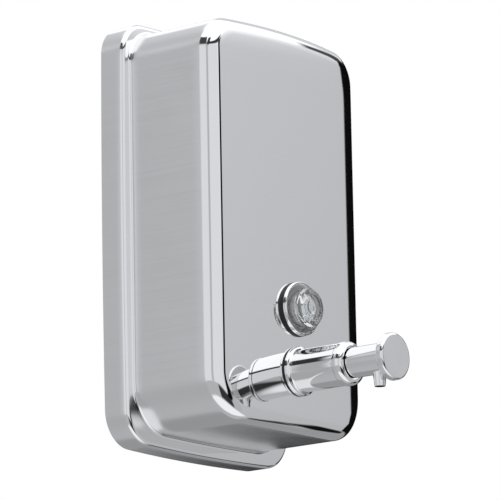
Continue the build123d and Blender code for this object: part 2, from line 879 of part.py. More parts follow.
elbow_leg_y = -front_depth - elbow_leg_station
elbow_bottom = valve_height - elbow_leg_drop
inlet_seat_height = valve_height - inlet_seat_drop

inlet_ball_height = (
    inlet_seat_height + sqrt(inlet_ball_radius**2 - inlet_seat_radius**2) + ball_rest_gap
)
ball_stop_height = inlet_ball_height + inlet_ball_radius + inlet_lift + 2 * ball_stop_radius

with BuildPart() as inlet_ball:
    with Locations((0, elbow_leg_y, inlet_ball_height)):
        Sphere(inlet_ball_radius)

# Cross pin that keeps the ball in its chamber
with BuildPart() as ball_stop:
    with BuildSketch(Plane.YZ.offset(-elbow_leg_radius)):
        with Locations((elbow_leg_y, ball_stop_height)):
            Circle(ball_stop_radius)
    extrude(amount=2 * elbow_leg_radius)

with BuildPart() as inlet_elbow:
    with BuildSketch(front_plane(-elbow_rear, valve_height)):
        Circle(elbow_radius)
    extrude(amount=elbow_rear - shank_length + elbow_overlap)
    fillet(inlet_elbow.edges().group_by(Axis.Y)[-1], elbow_edge_radius)
    with BuildSketch(Plane.XY.offset(elbow_bottom)):
        with Locations((0, elbow_leg_y)):
            Circle(elbow_leg_radius)
    extrude(amount=elbow_leg_drop)
    with BuildSketch(front_plane(-shank_length, valve_height)):
        Circle(shank_radius)
    extrude(amount=elbow_overlap, mode=Mode.SUBTRACT)
    with BuildSketch(front_plane(-shank_length, valve_height)):
        Circle(elbow_passage_radius)
    extrude(amount=-(elbow_rear - shank_length - elbow_wall), mode=Mode.SUBTRACT)
    with BuildSketch(Plane.XY.offset(inlet_seat_height)):
        with Locations((0, elbow_leg_y)):
            Circle(ball_chamber_radius)
    extrude(amount=inlet_seat_drop, mode=Mode.SUBTRACT)
    with BuildSketch(Plane.XY.offset(elbow_bottom)):
        with Locations((0, elbow_leg_y)):
            Circle(inlet_seat_radius)
    extrude(amount=elbow_leg_drop, mode=Mode.SUBTRACT)
    with BuildSketch(Plane.XY.offset(elbow_bottom)):
        with Locations((0, elbow_leg_y)):
            Circle(tube_radius)
    extrude(amount=tube_socket, mode=Mode.SUBTRACT)
    add(ball_stop.part, mode=Mode.SUBTRACT)

tube_top = elbow_bottom + tube_socket
tube_foot = body_floor + tube_floor_gap

with BuildPart() as suction_tube:
    with BuildSketch(Plane.XY.offset(tube_foot)):
        with Locations((0, elbow_leg_y)):
            Circle(tube_radius)
    extrude(amount=tube_top - tube_foot)
    with BuildSketch(Plane.XY.offset(tube_foot)):
        with Locations((0, elbow_leg_y)):
            Circle(tube_radius - tube_wall)
    extrude(amount=tube_top - tube_foot, mode=Mode.SUBTRACT)
    with BuildSketch(Plane.YZ.offset(-tube_radius)):
        with Locations((elbow_leg_y, tube_foot)):
            RegularPolygon(tube_notch_radius, 4)
    extrude(amount=2 * tube_radius, mode=Mode.SUBTRACT)

os.makedirs("parts", exist_ok=True)
for name, piece in (
    ("tank_shell", tank_shell),
    ("back_plate", back_plate),
    ("wall_bracket", wall_bracket),
    ("upper_hanger_rail", upper_hanger_rail),
    ("lower_hanger_rail", lower_hanger_rail),
    ("retaining_screw", retaining_screw),
    ("filler_frame", filler_frame),
    ("lid_gasket", lid_gasket),
    ("filler_lid", filler_lid),
    ("hinge_pin", hinge_pin),
    ("lock_barrel", lock_barrel),
    ("lock_nut", lock_nut),
    ("lock_plug", lock_plug),
    ("lock_cam", lock_cam),
    ("cam_screw", cam_screw),
    ("sight_gasket", sight_gasket),
    ("sight_lens", sight_lens),
    ("sight_washer", sight_washer),
    ("sight_nut", sight_nut),
    ("valve_gasket", valve_gasket),
    ("valve_body", valve_body),
    ("stem_bush", stem_bush),
    ("valve_collar", valve_collar),
    ("plunger_stem", plunger_stem),
    ("push_button", push_button),
    ("spout_nozzle", spout_nozzle),
    ("piston", piston),
    ("piston_seal", piston_seal),
    ("return_spring", return_spring),
    ("outlet_ball", outlet_ball),
    ("outlet_spring", outlet_spring),
    ("valve_washer", valve_washer),
    ("valve_nut", valve_nut),
    ("inlet_elbow", inlet_elbow),
    ("inlet_ball", inlet_ball),
    ("ball_stop", ball_stop),
    ("suction_tube", suction_tube),
):
    piece.part.label = name
    export_step(piece.part, f"parts/{name}.step")
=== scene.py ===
import json
from math import atan2, cos, pi, radians, sin, sqrt, tan

import bmesh
import bpy
from mathutils import Matrix, Vector


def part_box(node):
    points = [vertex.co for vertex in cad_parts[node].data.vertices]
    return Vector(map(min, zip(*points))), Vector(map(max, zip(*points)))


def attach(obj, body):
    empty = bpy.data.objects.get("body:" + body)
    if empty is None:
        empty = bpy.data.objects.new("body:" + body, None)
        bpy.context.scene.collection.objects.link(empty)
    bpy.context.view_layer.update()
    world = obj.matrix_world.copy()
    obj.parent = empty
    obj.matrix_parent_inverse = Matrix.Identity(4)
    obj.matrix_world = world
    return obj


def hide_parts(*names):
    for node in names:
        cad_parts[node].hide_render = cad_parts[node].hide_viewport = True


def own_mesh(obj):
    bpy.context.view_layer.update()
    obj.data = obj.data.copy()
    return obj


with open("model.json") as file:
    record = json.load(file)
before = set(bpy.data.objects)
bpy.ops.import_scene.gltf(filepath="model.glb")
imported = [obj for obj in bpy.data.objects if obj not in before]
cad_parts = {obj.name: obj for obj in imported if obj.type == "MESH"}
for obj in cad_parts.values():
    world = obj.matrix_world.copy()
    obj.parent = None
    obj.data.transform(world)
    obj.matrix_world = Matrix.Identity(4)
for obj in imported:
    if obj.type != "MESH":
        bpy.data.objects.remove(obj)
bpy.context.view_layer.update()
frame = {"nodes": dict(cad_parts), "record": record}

scene = bpy.context.scene

# ------------------------------------------------------------------------------------------
# Shader building
# ------------------------------------------------------------------------------------------


class Shader:
    """A node tree with short calls for the nodes that the materials share."""

    def __init__(self, tree):
        self.tree = tree

    def node(self, kind, settings=None, **sockets):
        """A node with its settings and its socket values or links."""
        made = self.tree.nodes.new(kind)
        for name, value in (settings or {}).items():
            setattr(made, name, value)
        for name, value in sockets.items():
            self.feed(made, name.replace("_", " "), value)
        return made

    def feed(self, node, socket, value):
        """Puts a value or a link into a socket, which is given by its name or its number."""
        target = node.inputs[socket]
        if isinstance(value, bpy.types.NodeSocket):
            self.tree.links.new(value, target)
        else:
            target.default_value = value

    def math(self, operation, *values):
        """A maths node on up to three values."""
        made = self.node("ShaderNodeMath", {"operation": operation})
        for slot, value in enumerate(values):
            self.feed(made, slot, value)
        return made.outputs[0]

    def weighted(self, first, first_weight, second, second_weight):
        """The sum of two values, each times its weight."""
        return self.math(
            "ADD",
            self.math("MULTIPLY", first, first_weight),
            self.math("MULTIPLY", second, second_weight),
        )

    def remap(self, value, low, high, out_low=0.0, out_high=1.0, smooth=False):
        """Maps low..high to out_low..out_high and clamps."""
        made = self.node(
            "ShaderNodeMapRange",
            {"interpolation_type": "SMOOTHSTEP" if smooth else "LINEAR"},
            Value=value, From_Min=low, From_Max=high, To_Min=out_low, To_Max=out_high,
        )
        return made.outputs[0]

    def mix(self, share, first, second):
        """Mixes two colours, which have sockets of their own on the mix node."""
        made = self.node("ShaderNodeMix", {"data_type": "RGBA"})
        self.feed(made, 0, share)
        self.feed(made, 6, first)
        self.feed(made, 7, second)
        return made.outputs[2]

    def blend(self, share, first, second):
        """Mixes two numbers, which have sockets of their own on the mix node."""
        made = self.node("ShaderNodeMix", {"data_type": "FLOAT"})
        self.feed(made, 0, share)
        self.feed(made, 2, first)
        self.feed(made, 3, second)
        return made.outputs[0]

    def tone(self, share, colour, darkest):
        """A colour that drifts between a darker share of itself and its full value."""
        return self.mix(share, (*[c * darkest for c in colour], 1.0), (*colour, 1.0))

    def position(self, stretch):
        """The point in the object's own frame, stretched along each axis."""
        coordinates = self.node("ShaderNodeTexCoord").outputs["Object"]
        return self.node("ShaderNodeMapping", Vector=coordinates, Scale=stretch).outputs[0]

    def noise(self, stretch, detail):
        """Noise whose grain is set by how many cycles it has to the metre on each axis."""
        return self.node(
            "ShaderNodeTexNoise", Vector=self.position(stretch), Scale=1.0, Detail=detail,
            Roughness=0.5,
        ).outputs[0]

    def even_noise(self, cycles, detail):
        """Noise with the same grain along every axis."""
        return self.noise((cycles, cycles, cycles), detail)

    def bump(self, height, distance):
        """A bump of the given depth in metres."""
        return self.node(
            "ShaderNodeBump", Height=height, Distance=distance, Strength=1.0
        ).outputs[0]


def principled(name, **sockets):
    """A new material, its shader and its surface node, with uniform values set on the sockets."""
    material = bpy.data.materials.new(name)
    material.use_nodes = True
    shader = Shader(material.node_tree)
    surface = material.node_tree.nodes["Principled BSDF"]
    for socket, value in sockets.items():
        shader.feed(surface, socket.replace("_", " "), value)
    return material, shader, surface


# ------------------------------------------------------------------------------------------
# Materials
# ------------------------------------------------------------------------------------------

# The part of a noise's range that is spread over a whole effect
NOISE_BAND = (0.35, 0.65)

# Brushed sheet: cycles to the metre along the grain, of the smudges and of the tint drift
ALONG_GRAIN, SMUDGES, DRIFT = 6, 35, 9
# The grain turns as the normal's upward part goes through the first band, and a wall becomes
# the front as its forward part goes through the second
LEVEL_FACING = (0.55, 0.85)
FRONT_FACING = (0.02, 0.2)
LINE_TINT, DRIFT_TINT, TINT_BAND, SHEET_DARKEST = 0.06, 0.04, (0.02, 0.08), 0.965
LINE_WEAR, SMUDGE_WEAR, WEAR_BAND, WEAR_SPAN = 0.6, 0.4, (0.3, 0.7), (0.8, 1.25)
FRONT_GRAIN_SHARE = 0.1


def brushed(name, colour, rough, side_rough, grain, grain_depth):
    """Stainless sheet with a fine horizontal brush grain, handling marks and slight tint drift."""
    material, shader, surface = principled(name, Metallic=1.0)
    normal = shader.node("ShaderNodeTexCoord").outputs["Normal"]
    facing = shader.node("ShaderNodeSeparateXYZ", Vector=normal).outputs
    level = shader.remap(shader.math("ABSOLUTE", facing[2]), *LEVEL_FACING)
    upright_lines = shader.noise((ALONG_GRAIN, ALONG_GRAIN, grain), detail=4.0)
    level_lines = shader.noise((ALONG_GRAIN, grain, ALONG_GRAIN), detail=4.0)
    lines = shader.weighted(
        upright_lines, shader.math("SUBTRACT", 1.0, level), level_lines, level
    )
    smudge = shader.even_noise(SMUDGES, detail=2.0)
    drift = shader.even_noise(DRIFT, detail=1.0)
    tint = shader.weighted(lines, LINE_TINT, drift, DRIFT_TINT)
    tone = shader.tone(shader.remap(tint, *TINT_BAND), colour, SHEET_DARKEST)
    shader.feed(surface, "Base Color", tone)
    walls = shader.remap(shader.math("ABSOLUTE", facing[1]), *FRONT_FACING, 1.0, 0.0)
    face_rough = shader.remap(walls, 0.0, 1.0, rough, side_rough)
    worn = shader.weighted(lines, LINE_WEAR, smudge, SMUDGE_WEAR)
    wear = shader.remap(worn, *WEAR_BAND, *WEAR_SPAN)
    shader.feed(surface, "Roughness", shader.math("MULTIPLY", face_rough, wear))
    depth = shader.math("MULTIPLY", lines, shader.remap(walls, 0.0, 1.0, FRONT_GRAIN_SHARE, 1.0))
    shader.feed(surface, "Normal", shader.bump(depth, grain_depth))
    return material


# Turned metal: cycles to the metre of its lathe rings and its wipe marks, across and along the
# axis, and the rings' depth in metres
RINGS_ACROSS, RINGS_ALONG, RING_DEPTH = 20, 1800.0, 0.0000004
WIPES_ACROSS, WIPES_ALONG = 90, 40
TURNED_DARKEST, TURNED_LOW, TURNED_HIGH = 0.97, 0.8, 1.3


def polished(name, colour, rough):
    """Turned and plated metal: fine lathe rings across the valve's axis and faint wipe marks."""
    material, shader, surface = principled(name, Metallic=1.0)
    rings = shader.noise((RINGS_ACROSS, RINGS_ALONG, RINGS_ACROSS), detail=2.0)
    wiped = shader.noise((WIPES_ACROSS, WIPES_ALONG, WIPES_ACROSS), detail=3.0)
    tone = shader.tone(shader.remap(wiped, *NOISE_BAND), colour, TURNED_DARKEST)
    shader.feed(surface, "Base Color", tone)
    worn = shader.weighted(rings, 0.5, wiped, 0.5)
    shader.feed(surface, "Roughness", shader.remap(
        worn, *NOISE_BAND, rough * TURNED_LOW, rough * TURNED_HIGH
    ))
    shader.feed(surface, "Normal", shader.bump(rings, RING_DEPTH))
    return material


# Moulded or cast matter: cycles to the metre of its tone, and the span of its roughness
SLOW_DRIFT, CAST_LOW, CAST_HIGH = 60, 0.85, 1.15


def cast(name, colour, rough, pebble, pebble_depth, darkest=0.9, **sockets):
    """Moulded or cast matter: a fine pebble in the surface and a slow drift in tone."""
    material, shader, surface = principled(name, **sockets)
    fine = shader.even_noise(pebble, detail=3.0)
    slow = shader.even_noise(SLOW_DRIFT, detail=2.0)
    tone = shader.tone(shader.remap(slow, *NOISE_BAND), colour, darkest)
    shader.feed(surface, "Base Color", tone)
    shader.feed(surface, "Roughness", shader.remap(
        fine, *NOISE_BAND, rough * CAST_LOW, rough * CAST_HIGH
    ))
    shader.feed(surface, "Normal", shader.bump(fine, pebble_depth))
    return material


# Grain and pebble are in cycles to the metre, and their depths in metres
materials = {
    "stainless_shell": brushed(
        "stainless_shell", (0.87, 0.87, 0.87), rough=0.022, side_rough=0.2, grain=2600,
        grain_depth=0.0000007,
    ),
    "stainless_lid": brushed(
        "stainless_lid", (0.86, 0.86, 0.86), rough=0.1, side_rough=0.2, grain=2600,
        grain_depth=0.0000006,
    ),
    "steel_plate": brushed(
        "steel_plate", (0.66, 0.66, 0.655), rough=0.34, side_rough=0.34, grain=1200,
        grain_depth=0.000002,
    ),
    "black_rubber": cast(
        "black_rubber", (0.012, 0.012, 0.013), rough=0.5, pebble=5000, pebble_depth=0.00001
    ),
    "silicone": cast(
        "silicone", (0.62, 0.62, 0.6), rough=0.42, pebble=4000, pebble_depth=0.000006,
        Subsurface_Weight=0.15,
    ),
    "clear_lens": cast(
        "clear_lens", (0.97, 0.98, 0.98), rough=0.02, pebble=500, pebble_depth=0.000002,
        Transmission_Weight=0.9, IOR=1.49,
    ),
    "white_plastic": cast(
        "white_plastic", (0.82, 0.82, 0.8), rough=0.34, pebble=3000, pebble_depth=0.000004
    ),
    "steel_fastener": polished("steel_fastener", (0.72, 0.72, 0.71), rough=0.2),
    "chrome_lock": polished("chrome_lock", (0.86, 0.87, 0.88), rough=0.06),
    "silvered_bore": polished("silvered_bore", (0.93, 0.94, 0.94), rough=0.12),
    "chrome_valve": polished("chrome_valve", (0.87, 0.87, 0.87), rough=0.035),
    "brass_nut": polished("brass_nut", (0.74, 0.55, 0.27), rough=0.26),
    "spring_wire": polished("spring_wire", (0.6, 0.6, 0.61), rough=0.22),
}

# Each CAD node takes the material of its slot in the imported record
slot_of = {row["node"]: row["material_slot"] for row in frame["record"]["subparts"]}
for name, cad_object in frame["nodes"].items():
    cad_object.data.materials.clear()
    cad_object.data.materials.append(materials[slot_of[name]])

# ------------------------------------------------------------------------------------------
# Mesh building, in millimetres until the mesh is made
# ------------------------------------------------------------------------------------------

MM = 0.001
WELD = 0.001 * MM
SHARP = radians(32)


def box_mm(node):
    """Lowest and highest corner of a CAD node in millimetres."""
    return tuple(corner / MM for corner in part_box(node))


def middle_mm(node):
    """Middle of a CAD node's box in millimetres."""
    low, high = box_mm(node)
    return (low + high) / 2


def mesh_object(name, points, faces):
    """An object in the scene, with its doubled points welded and its faces turned outwards."""
    mesh = bpy.data.meshes.new(name)
    mesh.from_pydata([Vector(point) * MM for point in points], [], faces)
    work = bmesh.new()
    work.from_mesh(mesh)
    bmesh.ops.remove_doubles(work, verts=work.verts, dist=WELD)
    bmesh.ops.recalc_face_normals(work, faces=work.faces)
    work.to_mesh(mesh)
    work.free()
    made = bpy.data.objects.new(name, mesh)
    scene.collection.objects.link(made)
    return made


def shade(made, slot):
    """Smooths a piece between its sharp edges and gives it the material of its slot."""
    for polygon in made.data.polygons:
        polygon.use_smooth = True
    made.data.set_sharp_from_angle(angle=SHARP)
    made.data.materials.clear()
    made.data.materials.append(materials[slot])


def piece(name, points, faces, body, slot, *stood_for):
    """A closed mesh piece that rides on a body and stands for CAD nodes."""
    made = mesh_object(name, points, faces)
    shade(made, slot)
    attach(made, body)
    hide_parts(*stood_for)
    return made


def bridge(first, second, count):
    """Faces between two rings of points, given where each ring starts."""
    return [
        (first + i, first + (i + 1) % count, second + (i + 1) % count, second + i)
        for i in range(count)
    ]


def prism_faces(count):
    """Faces of a closed prism made of two rings of points, one after the other."""
    faces = bridge(0, count, count)
    faces.append(tuple(range(count)))
    faces.append(tuple(range(2 * count - 1, count - 1, -1)))
    return faces


# ------------------------------------------------------------------------------------------
# Tank skin: outer and inner face of the stepped pressing
# ------------------------------------------------------------------------------------------

SHEET = 0.8
FLANGE_WIDTH, FLANGE_HEIGHT = 122.0, 204.6
FLANGE_SIDE_BOW, FLANGE_END_BOW, BODY_END_BOW = 0.94, 1.68, 1.4
FLANGE_DEPTH, FLANGE_EDGE, LEDGE_FILLET, BODY_EDGE = 13.9, 2.0, 1.5, 6.5
# Radii of the top and the bottom corners
FLANGE_CORNERS = (14.4, 16.0)
BODY_CORNERS = (15.6, 21.8)
LEDGE_SIDE, LEDGE_TOP, LEDGE_BOTTOM = 4.2, 4.2, 6.8
CROWN_HEIGHT = 5.4
# The front eases back towards its top edge: from what height, and how far after what length
EASE_START, EASE_LENGTH, EASE_DEPTH = 76.0, 18.0, 0.42

END_STEPS, CORNER_STEPS, SIDE_STEPS = 22, 18, 44
FLANGE_RINGS, ROUNDING_STEPS, WALL_RINGS, EDGE_RINGS, CROWN_RINGS = 4, 8, 8, 16, 26

tank_low, tank_high = box_mm("tank_shell")
FRONT_DEPTH = -tank_low.y
BODY_WIDTH = FLANGE_WIDTH - 2 * LEDGE_SIDE
BODY_HEIGHT = FLANGE_HEIGHT - LEDGE_TOP - LEDGE_BOTTOM
BODY_LIFT = (LEDGE_BOTTOM - LEDGE_TOP) / 2
CROWN_RADIUS = ((BODY_WIDTH / 2) ** 2 + CROWN_HEIGHT**2) / (2 * CROWN_HEIGHT)


def quarter_turns(steps):
    """Angles from nothing to a right angle, both ends included."""
    return [pi / 2 * i / steps for i in range(steps + 1)]


def bowed_outline(width, height, lift, side_bow, end_bow, corners):
    """Points round a rounded rectangle with bulging sides, from the middle of its bottom edge."""
    right, top = width / 2, height / 2
    top_radius, bottom_radius = corners
    quarter = quarter_turns(CORNER_STEPS)[:-1]
    half = []
    for i in range(END_STEPS):
        half.append(((right - bottom_radius) * i / END_STEPS, -top))
    for turn in quarter:
        half.append((
            right - bottom_radius + bottom_radius * sin(turn),
            -top + bottom_radius - bottom_radius * cos(turn),
        ))
    for i in range(SIDE_STEPS):
        share = i / SIDE_STEPS
        half.append((right, (1 - share) * (bottom_radius - top) + share * (top - top_radius)))
    for turn in quarter:
        half.append((
            right - top_radius + top_radius * cos(turn), top - top_radius + top_radius * sin(turn)
        ))
    for i in range(END_STEPS + 1):
        half.append(((right - top_radius) * (1 - i / END_STEPS), top))
    whole = half + [(-x, z) for x, z in reversed(half[1:-1])]
    return [
        (
            x * (1 + side_bow / right * (1 - (z / top) ** 2)),
            lift + z * (1 + end_bow / top * (1 - (x / right) ** 2)),
        )
        for x, z in whole
    ]


def flange_outline(inset):
    """Outline of the rear flange."""
    return bowed_outline(
        FLANGE_WIDTH - 2 * inset, FLANGE_HEIGHT - 2 * inset, 0, FLANGE_SIDE_BOW, FLANGE_END_BOW,
        [corner - inset for corner in FLANGE_CORNERS],
    )


def body_outline(inset):
    """Outline of the tank's body."""
    return bowed_outline(
        BODY_WIDTH - 2 * inset, BODY_HEIGHT - 2 * inset, BODY_LIFT, 0, BODY_END_BOW,
        [corner - inset for corner in BODY_CORNERS],
    )


def crown_depth(x, z, inset):
    """Distance from the wall to the bowed front, which eases back towards its top edge."""
    radius = CROWN_RADIUS - inset
    rise = max(0.0, (z - EASE_START) / EASE_LENGTH)
    return FRONT_DEPTH - inset - radius + sqrt(radius**2 - x**2) - EASE_DEPTH * rise**2


def level_ring(outline, depth):
    """A ring at one distance from the wall."""
    return [(x, -depth, z) for x, z in outline]


def skin_rings(inset):
    """Rings of points from the open back to the front, where the last closes onto its midline."""
    rings = []
    depth = FLANGE_DEPTH - inset
    edge = FLANGE_EDGE - inset
    for i in range(FLANGE_RINGS):
        rings.append(level_ring(flange_outline(inset), (depth - edge) * i / FLANGE_RINGS))
    for turn in quarter_turns(ROUNDING_STEPS):
        rings.append(level_ring(
            flange_outline(inset + edge * (1 - cos(turn))), depth - edge + edge * sin(turn)
        ))
    fillet = LEDGE_FILLET + inset
    for turn in quarter_turns(ROUNDING_STEPS):
        rings.append(level_ring(
            body_outline(inset - fillet * (1 - sin(turn))), depth + fillet * (1 - cos(turn))
        ))
    edge = BODY_EDGE - inset
    root = depth + fillet
    side = body_outline(inset)
    for i in range(1, WALL_RINGS):
        share = i / WALL_RINGS
        rings.append([
            (x, -(root + (crown_depth(x, z, inset) - edge - root) * share), z) for x, z in side
        ])
    for turn in quarter_turns(EDGE_RINGS):
        rings.append([
            (x, -(crown_depth(x, z, inset) - edge + edge * sin(turn)), z)
            for x, z in body_outline(inset + edge * (1 - cos(turn)))
        ])
    rim = body_outline(inset + edge)
    spine = (BODY_HEIGHT - BODY_WIDTH) / 2
    for i in range(1, CROWN_RINGS + 1):
        share = i / CROWN_RINGS
        ring = []
        for x, z in rim:
            middle = BODY_LIFT + max(-spine, min(spine, z - BODY_LIFT))
            across, along = x * (1 - share), z + (middle - z) * share
            ring.append((across, -crown_depth(across, along, inset), along))
        rings.append(ring)
    return rings


def tank_skin():
    """The pressing's two faces joined round the open back."""
    points, faces, starts = [], [], []
    for inset in (0, SHEET):
        rings = skin_rings(inset)
        count = len(rings[0])
        first = len(points)
        starts.append(first)
        for ring in rings:
            points.extend(ring)
        for i in range(len(rings) - 1):
            faces.extend(bridge(first + i * count, first + (i + 1) * count, count))
    faces.extend(bridge(starts[0], starts[1], count))
    return points, faces


# ------------------------------------------------------------------------------------------
# Holes in the tank skin
# ------------------------------------------------------------------------------------------

FRONT_TO_BACK, UPWARD = 1, 2
HOLE_SIDES, SCREW_HOLE_SIDES = 96, 48
SIGHT_HOLE, VALVE_HOLE, SCREW_HOLE = 9.2, 8.2, 2.25
NECK_WALL = 1.2
MOUTH_WIDTH, MOUTH_FRONT, MOUTH_BACK, MOUTH_CORNER = 50.0, 49.0, 27.0, 5.0
# How far a cutting shape runs past the skin
REACH = 6.0


def rod(axis, centre, radius, start, end, sides):
    """A closed round rod along an axis given by its index."""
    points = []
    for place in (start, end):
        for i in range(sides):
            turn = 2 * pi * i / sides
            across = [centre[0] + radius * cos(turn), centre[1] + radius * sin(turn)]
            across.insert(axis, place)
            points.append(tuple(across))
    return points, prism_faces(sides)


def slab(width, front, back, corner, bottom, top):
    """A closed prism on a rounded rectangle seen from above."""
    side, rear, fore = width / 2 - corner, -back - corner, -front + corner
    ring = []
    for quarter, (x, y) in enumerate(((side, rear), (-side, rear), (-side, fore), (side, fore))):
        for i in range(ROUNDING_STEPS + 1):
            turn = pi / 2 * (quarter + i / ROUNDING_STEPS)
            ring.append((x + corner * cos(turn), y + corner * sin(turn)))
    points = [(x, y, z) for z in (bottom, top) for x, y in ring]
    return points, prism_faces(len(ring))


def cut(made, slot, shapes):
    """Cuts closed shapes out of a piece, keeps its new mesh and shades it again."""
    points, faces = [], []
    for shape_points, shape_faces in shapes:
        first = len(points)
        points.extend(shape_points)
        faces.extend(tuple(first + i for i in face) for face in shape_faces)
    cutter = mesh_object("cutter", points, faces)
    step = made.modifiers.new("holes", "BOOLEAN")
    step.operation, step.object, step.solver = "DIFFERENCE", cutter, "EXACT"
    graph = bpy.context.evaluated_depsgraph_get()
    made.data = bpy.data.meshes.new_from_object(made.evaluated_get(graph))
    made.modifiers.clear()
    bpy.data.objects.remove(cutter)
    shade(made, slot)


def front_hole(height, radius):
    """A rod through the front at a height on the midline."""
    start, end = -FRONT_DEPTH - REACH, -FRONT_DEPTH + REACH
    return rod(FRONT_TO_BACK, (0, height), radius, start, end, HOLE_SIDES)


sight_axis = middle_mm("sight_nut").z
valve_axis = middle_mm("valve_nut").z
screw_axis = middle_mm("retaining_screw").y
neck_foot = box_mm("filler_frame")[0].z
tank_top = tank_high.z

tank = piece("tank_skin", *tank_skin(), "dispenser", "stainless_shell", "tank_shell")
cut(tank, "stainless_shell", [
    front_hole(sight_axis, SIGHT_HOLE),
    front_hole(valve_axis, VALVE_HOLE),
    rod(UPWARD, (0, screw_axis), SCREW_HOLE, tank_top - REACH, tank_top + REACH, SCREW_HOLE_SIDES),
    slab(
        MOUTH_WIDTH + 2 * NECK_WALL, MOUTH_FRONT + NECK_WALL, MOUTH_BACK - NECK_WALL,
        MOUTH_CORNER + NECK_WALL, neck_foot, tank_top + REACH,
    ),
])

# ------------------------------------------------------------------------------------------
# Turned pieces on the two front-to-back axes
# ------------------------------------------------------------------------------------------

TURNS = 128
FILLET_STEP, FEWEST_FILLET_STEPS = radians(11), 3
SHORTEST_EDGE = 0.0001 * MM


def rounded(corners):
    """Closed profile of (station, radius) points from (station, radius, fillet) corners."""
    profile = []
    count = len(corners)
    for i, (station, radius, fillet) in enumerate(corners):
        if fillet <= 0:
            profile.append((station, radius))
            continue
        here = Vector((station, radius))
        before = (Vector(corners[i - 1][:2]) - here).normalized()
        after = (Vector(corners[(i + 1) % count][:2]) - here).normalized()
        angle = before.angle(after)
        reach = fillet / tan(angle / 2)
        centre = here + (before + after).normalized() * (fillet / sin(angle / 2))
        start = here + before * reach - centre
        end = here + after * reach - centre
        sweep = start.angle_signed(end)
        steps = max(FEWEST_FILLET_STEPS, int(abs(sweep) / FILLET_STEP))
        for k in range(steps + 1):
            turn = sweep * k / steps
            profile.append(tuple(centre + Vector((
                start.x * cos(turn) + start.y * sin(turn),
                -start.x * sin(turn) + start.y * cos(turn),
            ))))
    return profile


def turned_piece(name, corners, axis_height, body, slot, *stood_for):
    """A piece turned about a front-to-back axis; stations run forward from the crown."""
    profile = rounded(corners)
    count = len(profile)
    points, faces = [], []
    for i in range(TURNS):
        angle = 2 * pi * i / TURNS
        for station, radius in profile:
            points.append((
                radius * cos(angle), -FRONT_DEPTH - station, axis_height + radius * sin(angle)
            ))
    for i in range(TURNS):
        here, there = i * count, (i + 1) % TURNS * count
        for k in range(count):
            after = (k + 1) % count
            faces.append((here + k, here + after, there + after, there + k))
    made = piece(name, points, faces, body, slot, *stood_for)
    work = bmesh.new()
    work.from_mesh(made.data)
    bmesh.ops.dissolve_degenerate(work, edges=work.edges, dist=SHORTEST_EDGE)
    work.to_mesh(made.data)
    work.free()
    return made


# Each corner is (station, radius, fillet): the stem inside the tank, its seat on the front, the
# rim, the bevelled head, the groove in its face, and back through the bore for the soap
SIGHT_CORNERS = [
    (-9.0, 6.5, 0.3), (-9.0, 9.0, 0.4), (0.0, 9.0, 0.3), (0.0, 12.05, 0.15), (1.3, 12.05, 0.0),
    (1.3, 13.0, 0.25), (3.2, 13.0, 0.6), (3.2, 12.3, 0.0), (6.7, 10.1, 0.3), (6.9, 9.3, 0.2),
    (9.0, 8.9, 1.2), (9.0, 6.4, 0.3), (8.5, 6.1, 0.2), (8.5, 3.4, 0.2), (9.0, 3.1, 0.3),
    (9.0, 0.0, 0.0), (7.0, 0.0, 0.0), (7.0, 4.2, 0.4), (3.2, 4.2, 0.3), (3.2, 6.5, 0.3),
]
window = turned_piece(
    "sight_window", SIGHT_CORNERS, sight_axis, "dispenser", "clear_lens", "sight_lens"
)

# The bore and the rim are silvered, and the seat has a pale backing
SIGHT_BORE, SIGHT_BORE_END = 6.6, 7.2
SIGHT_RIM, SIGHT_SEAT_END = 12.6, 1.4
SILVERED, BACKING = 1, 2
window.data.materials.append(materials["silvered_bore"])
window.data.materials.append(materials["white_plastic"])
for polygon in window.data.polygons:
    x, y, z = polygon.center / MM
    radius = sqrt(x**2 + (z - sight_axis) ** 2)
    station = -y - FRONT_DEPTH
    in_bore = radius < SIGHT_BORE and station < SIGHT_BORE_END
    if in_bore or radius > SIGHT_RIM:
        polygon.material_index = SILVERED
    elif station < SIGHT_SEAT_END:
        polygon.material_index = BACKING

# The collar's mouth stands clear of the stem, which leaves a dark ring round it
COLLAR_CORNERS = [
    (27.2, 7.45, 0.0), (27.2, 9.8, 0.0), (27.7, 9.8, 0.0), (27.7, 10.6, 0.25), (32.6, 10.6, 2.7),
    (32.6, 8.15, 0.3), (30.0, 8.15, 0.0), (30.0, 7.45, 0.0),
]
turned_piece(
    "front_collar", COLLAR_CORNERS, valve_axis, "dispenser", "chrome_valve", "valve_collar"
)

# ------------------------------------------------------------------------------------------
# Springs
# ------------------------------------------------------------------------------------------

COIL_STEPS, WIRE_SIDES = 40, 12


def coil_piece(name, start, length, coil_radius, wire, coils, body, stood_for):
    """A round-wire spring on the valve's axis with closed ends."""
    steps = int(coils * COIL_STEPS)
    points, faces = [], []
    rise = length - 2 * wire
    lean = atan2(rise / coils, 2 * pi * coil_radius)
    for i in range(steps + 1):
        turn = 2 * pi * coils * i / steps
        station = start + wire + rise * i / steps
        for k in range(WIRE_SIDES):
            round_wire = 2 * pi * k / WIRE_SIDES
            out = coil_radius + wire / 2 * cos(round_wire)
            along = wire / 2 * sin(round_wire)
            side = -along * sin(lean)
            points.append((
                out * cos(turn) - side * sin(turn),
                -FRONT_DEPTH - station - along * cos(lean),
                valve_axis + out * sin(turn) + side * cos(turn),
            ))
    for i in range(steps):
        faces.extend(bridge(i * WIRE_SIDES, (i + 1) * WIRE_SIDES, WIRE_SIDES))
    faces.append(tuple(range(WIRE_SIDES)))
    faces.append(tuple(steps * WIRE_SIDES + k for k in reversed(range(WIRE_SIDES))))
    return piece(name, points, faces, body, "spring_wire", stood_for)


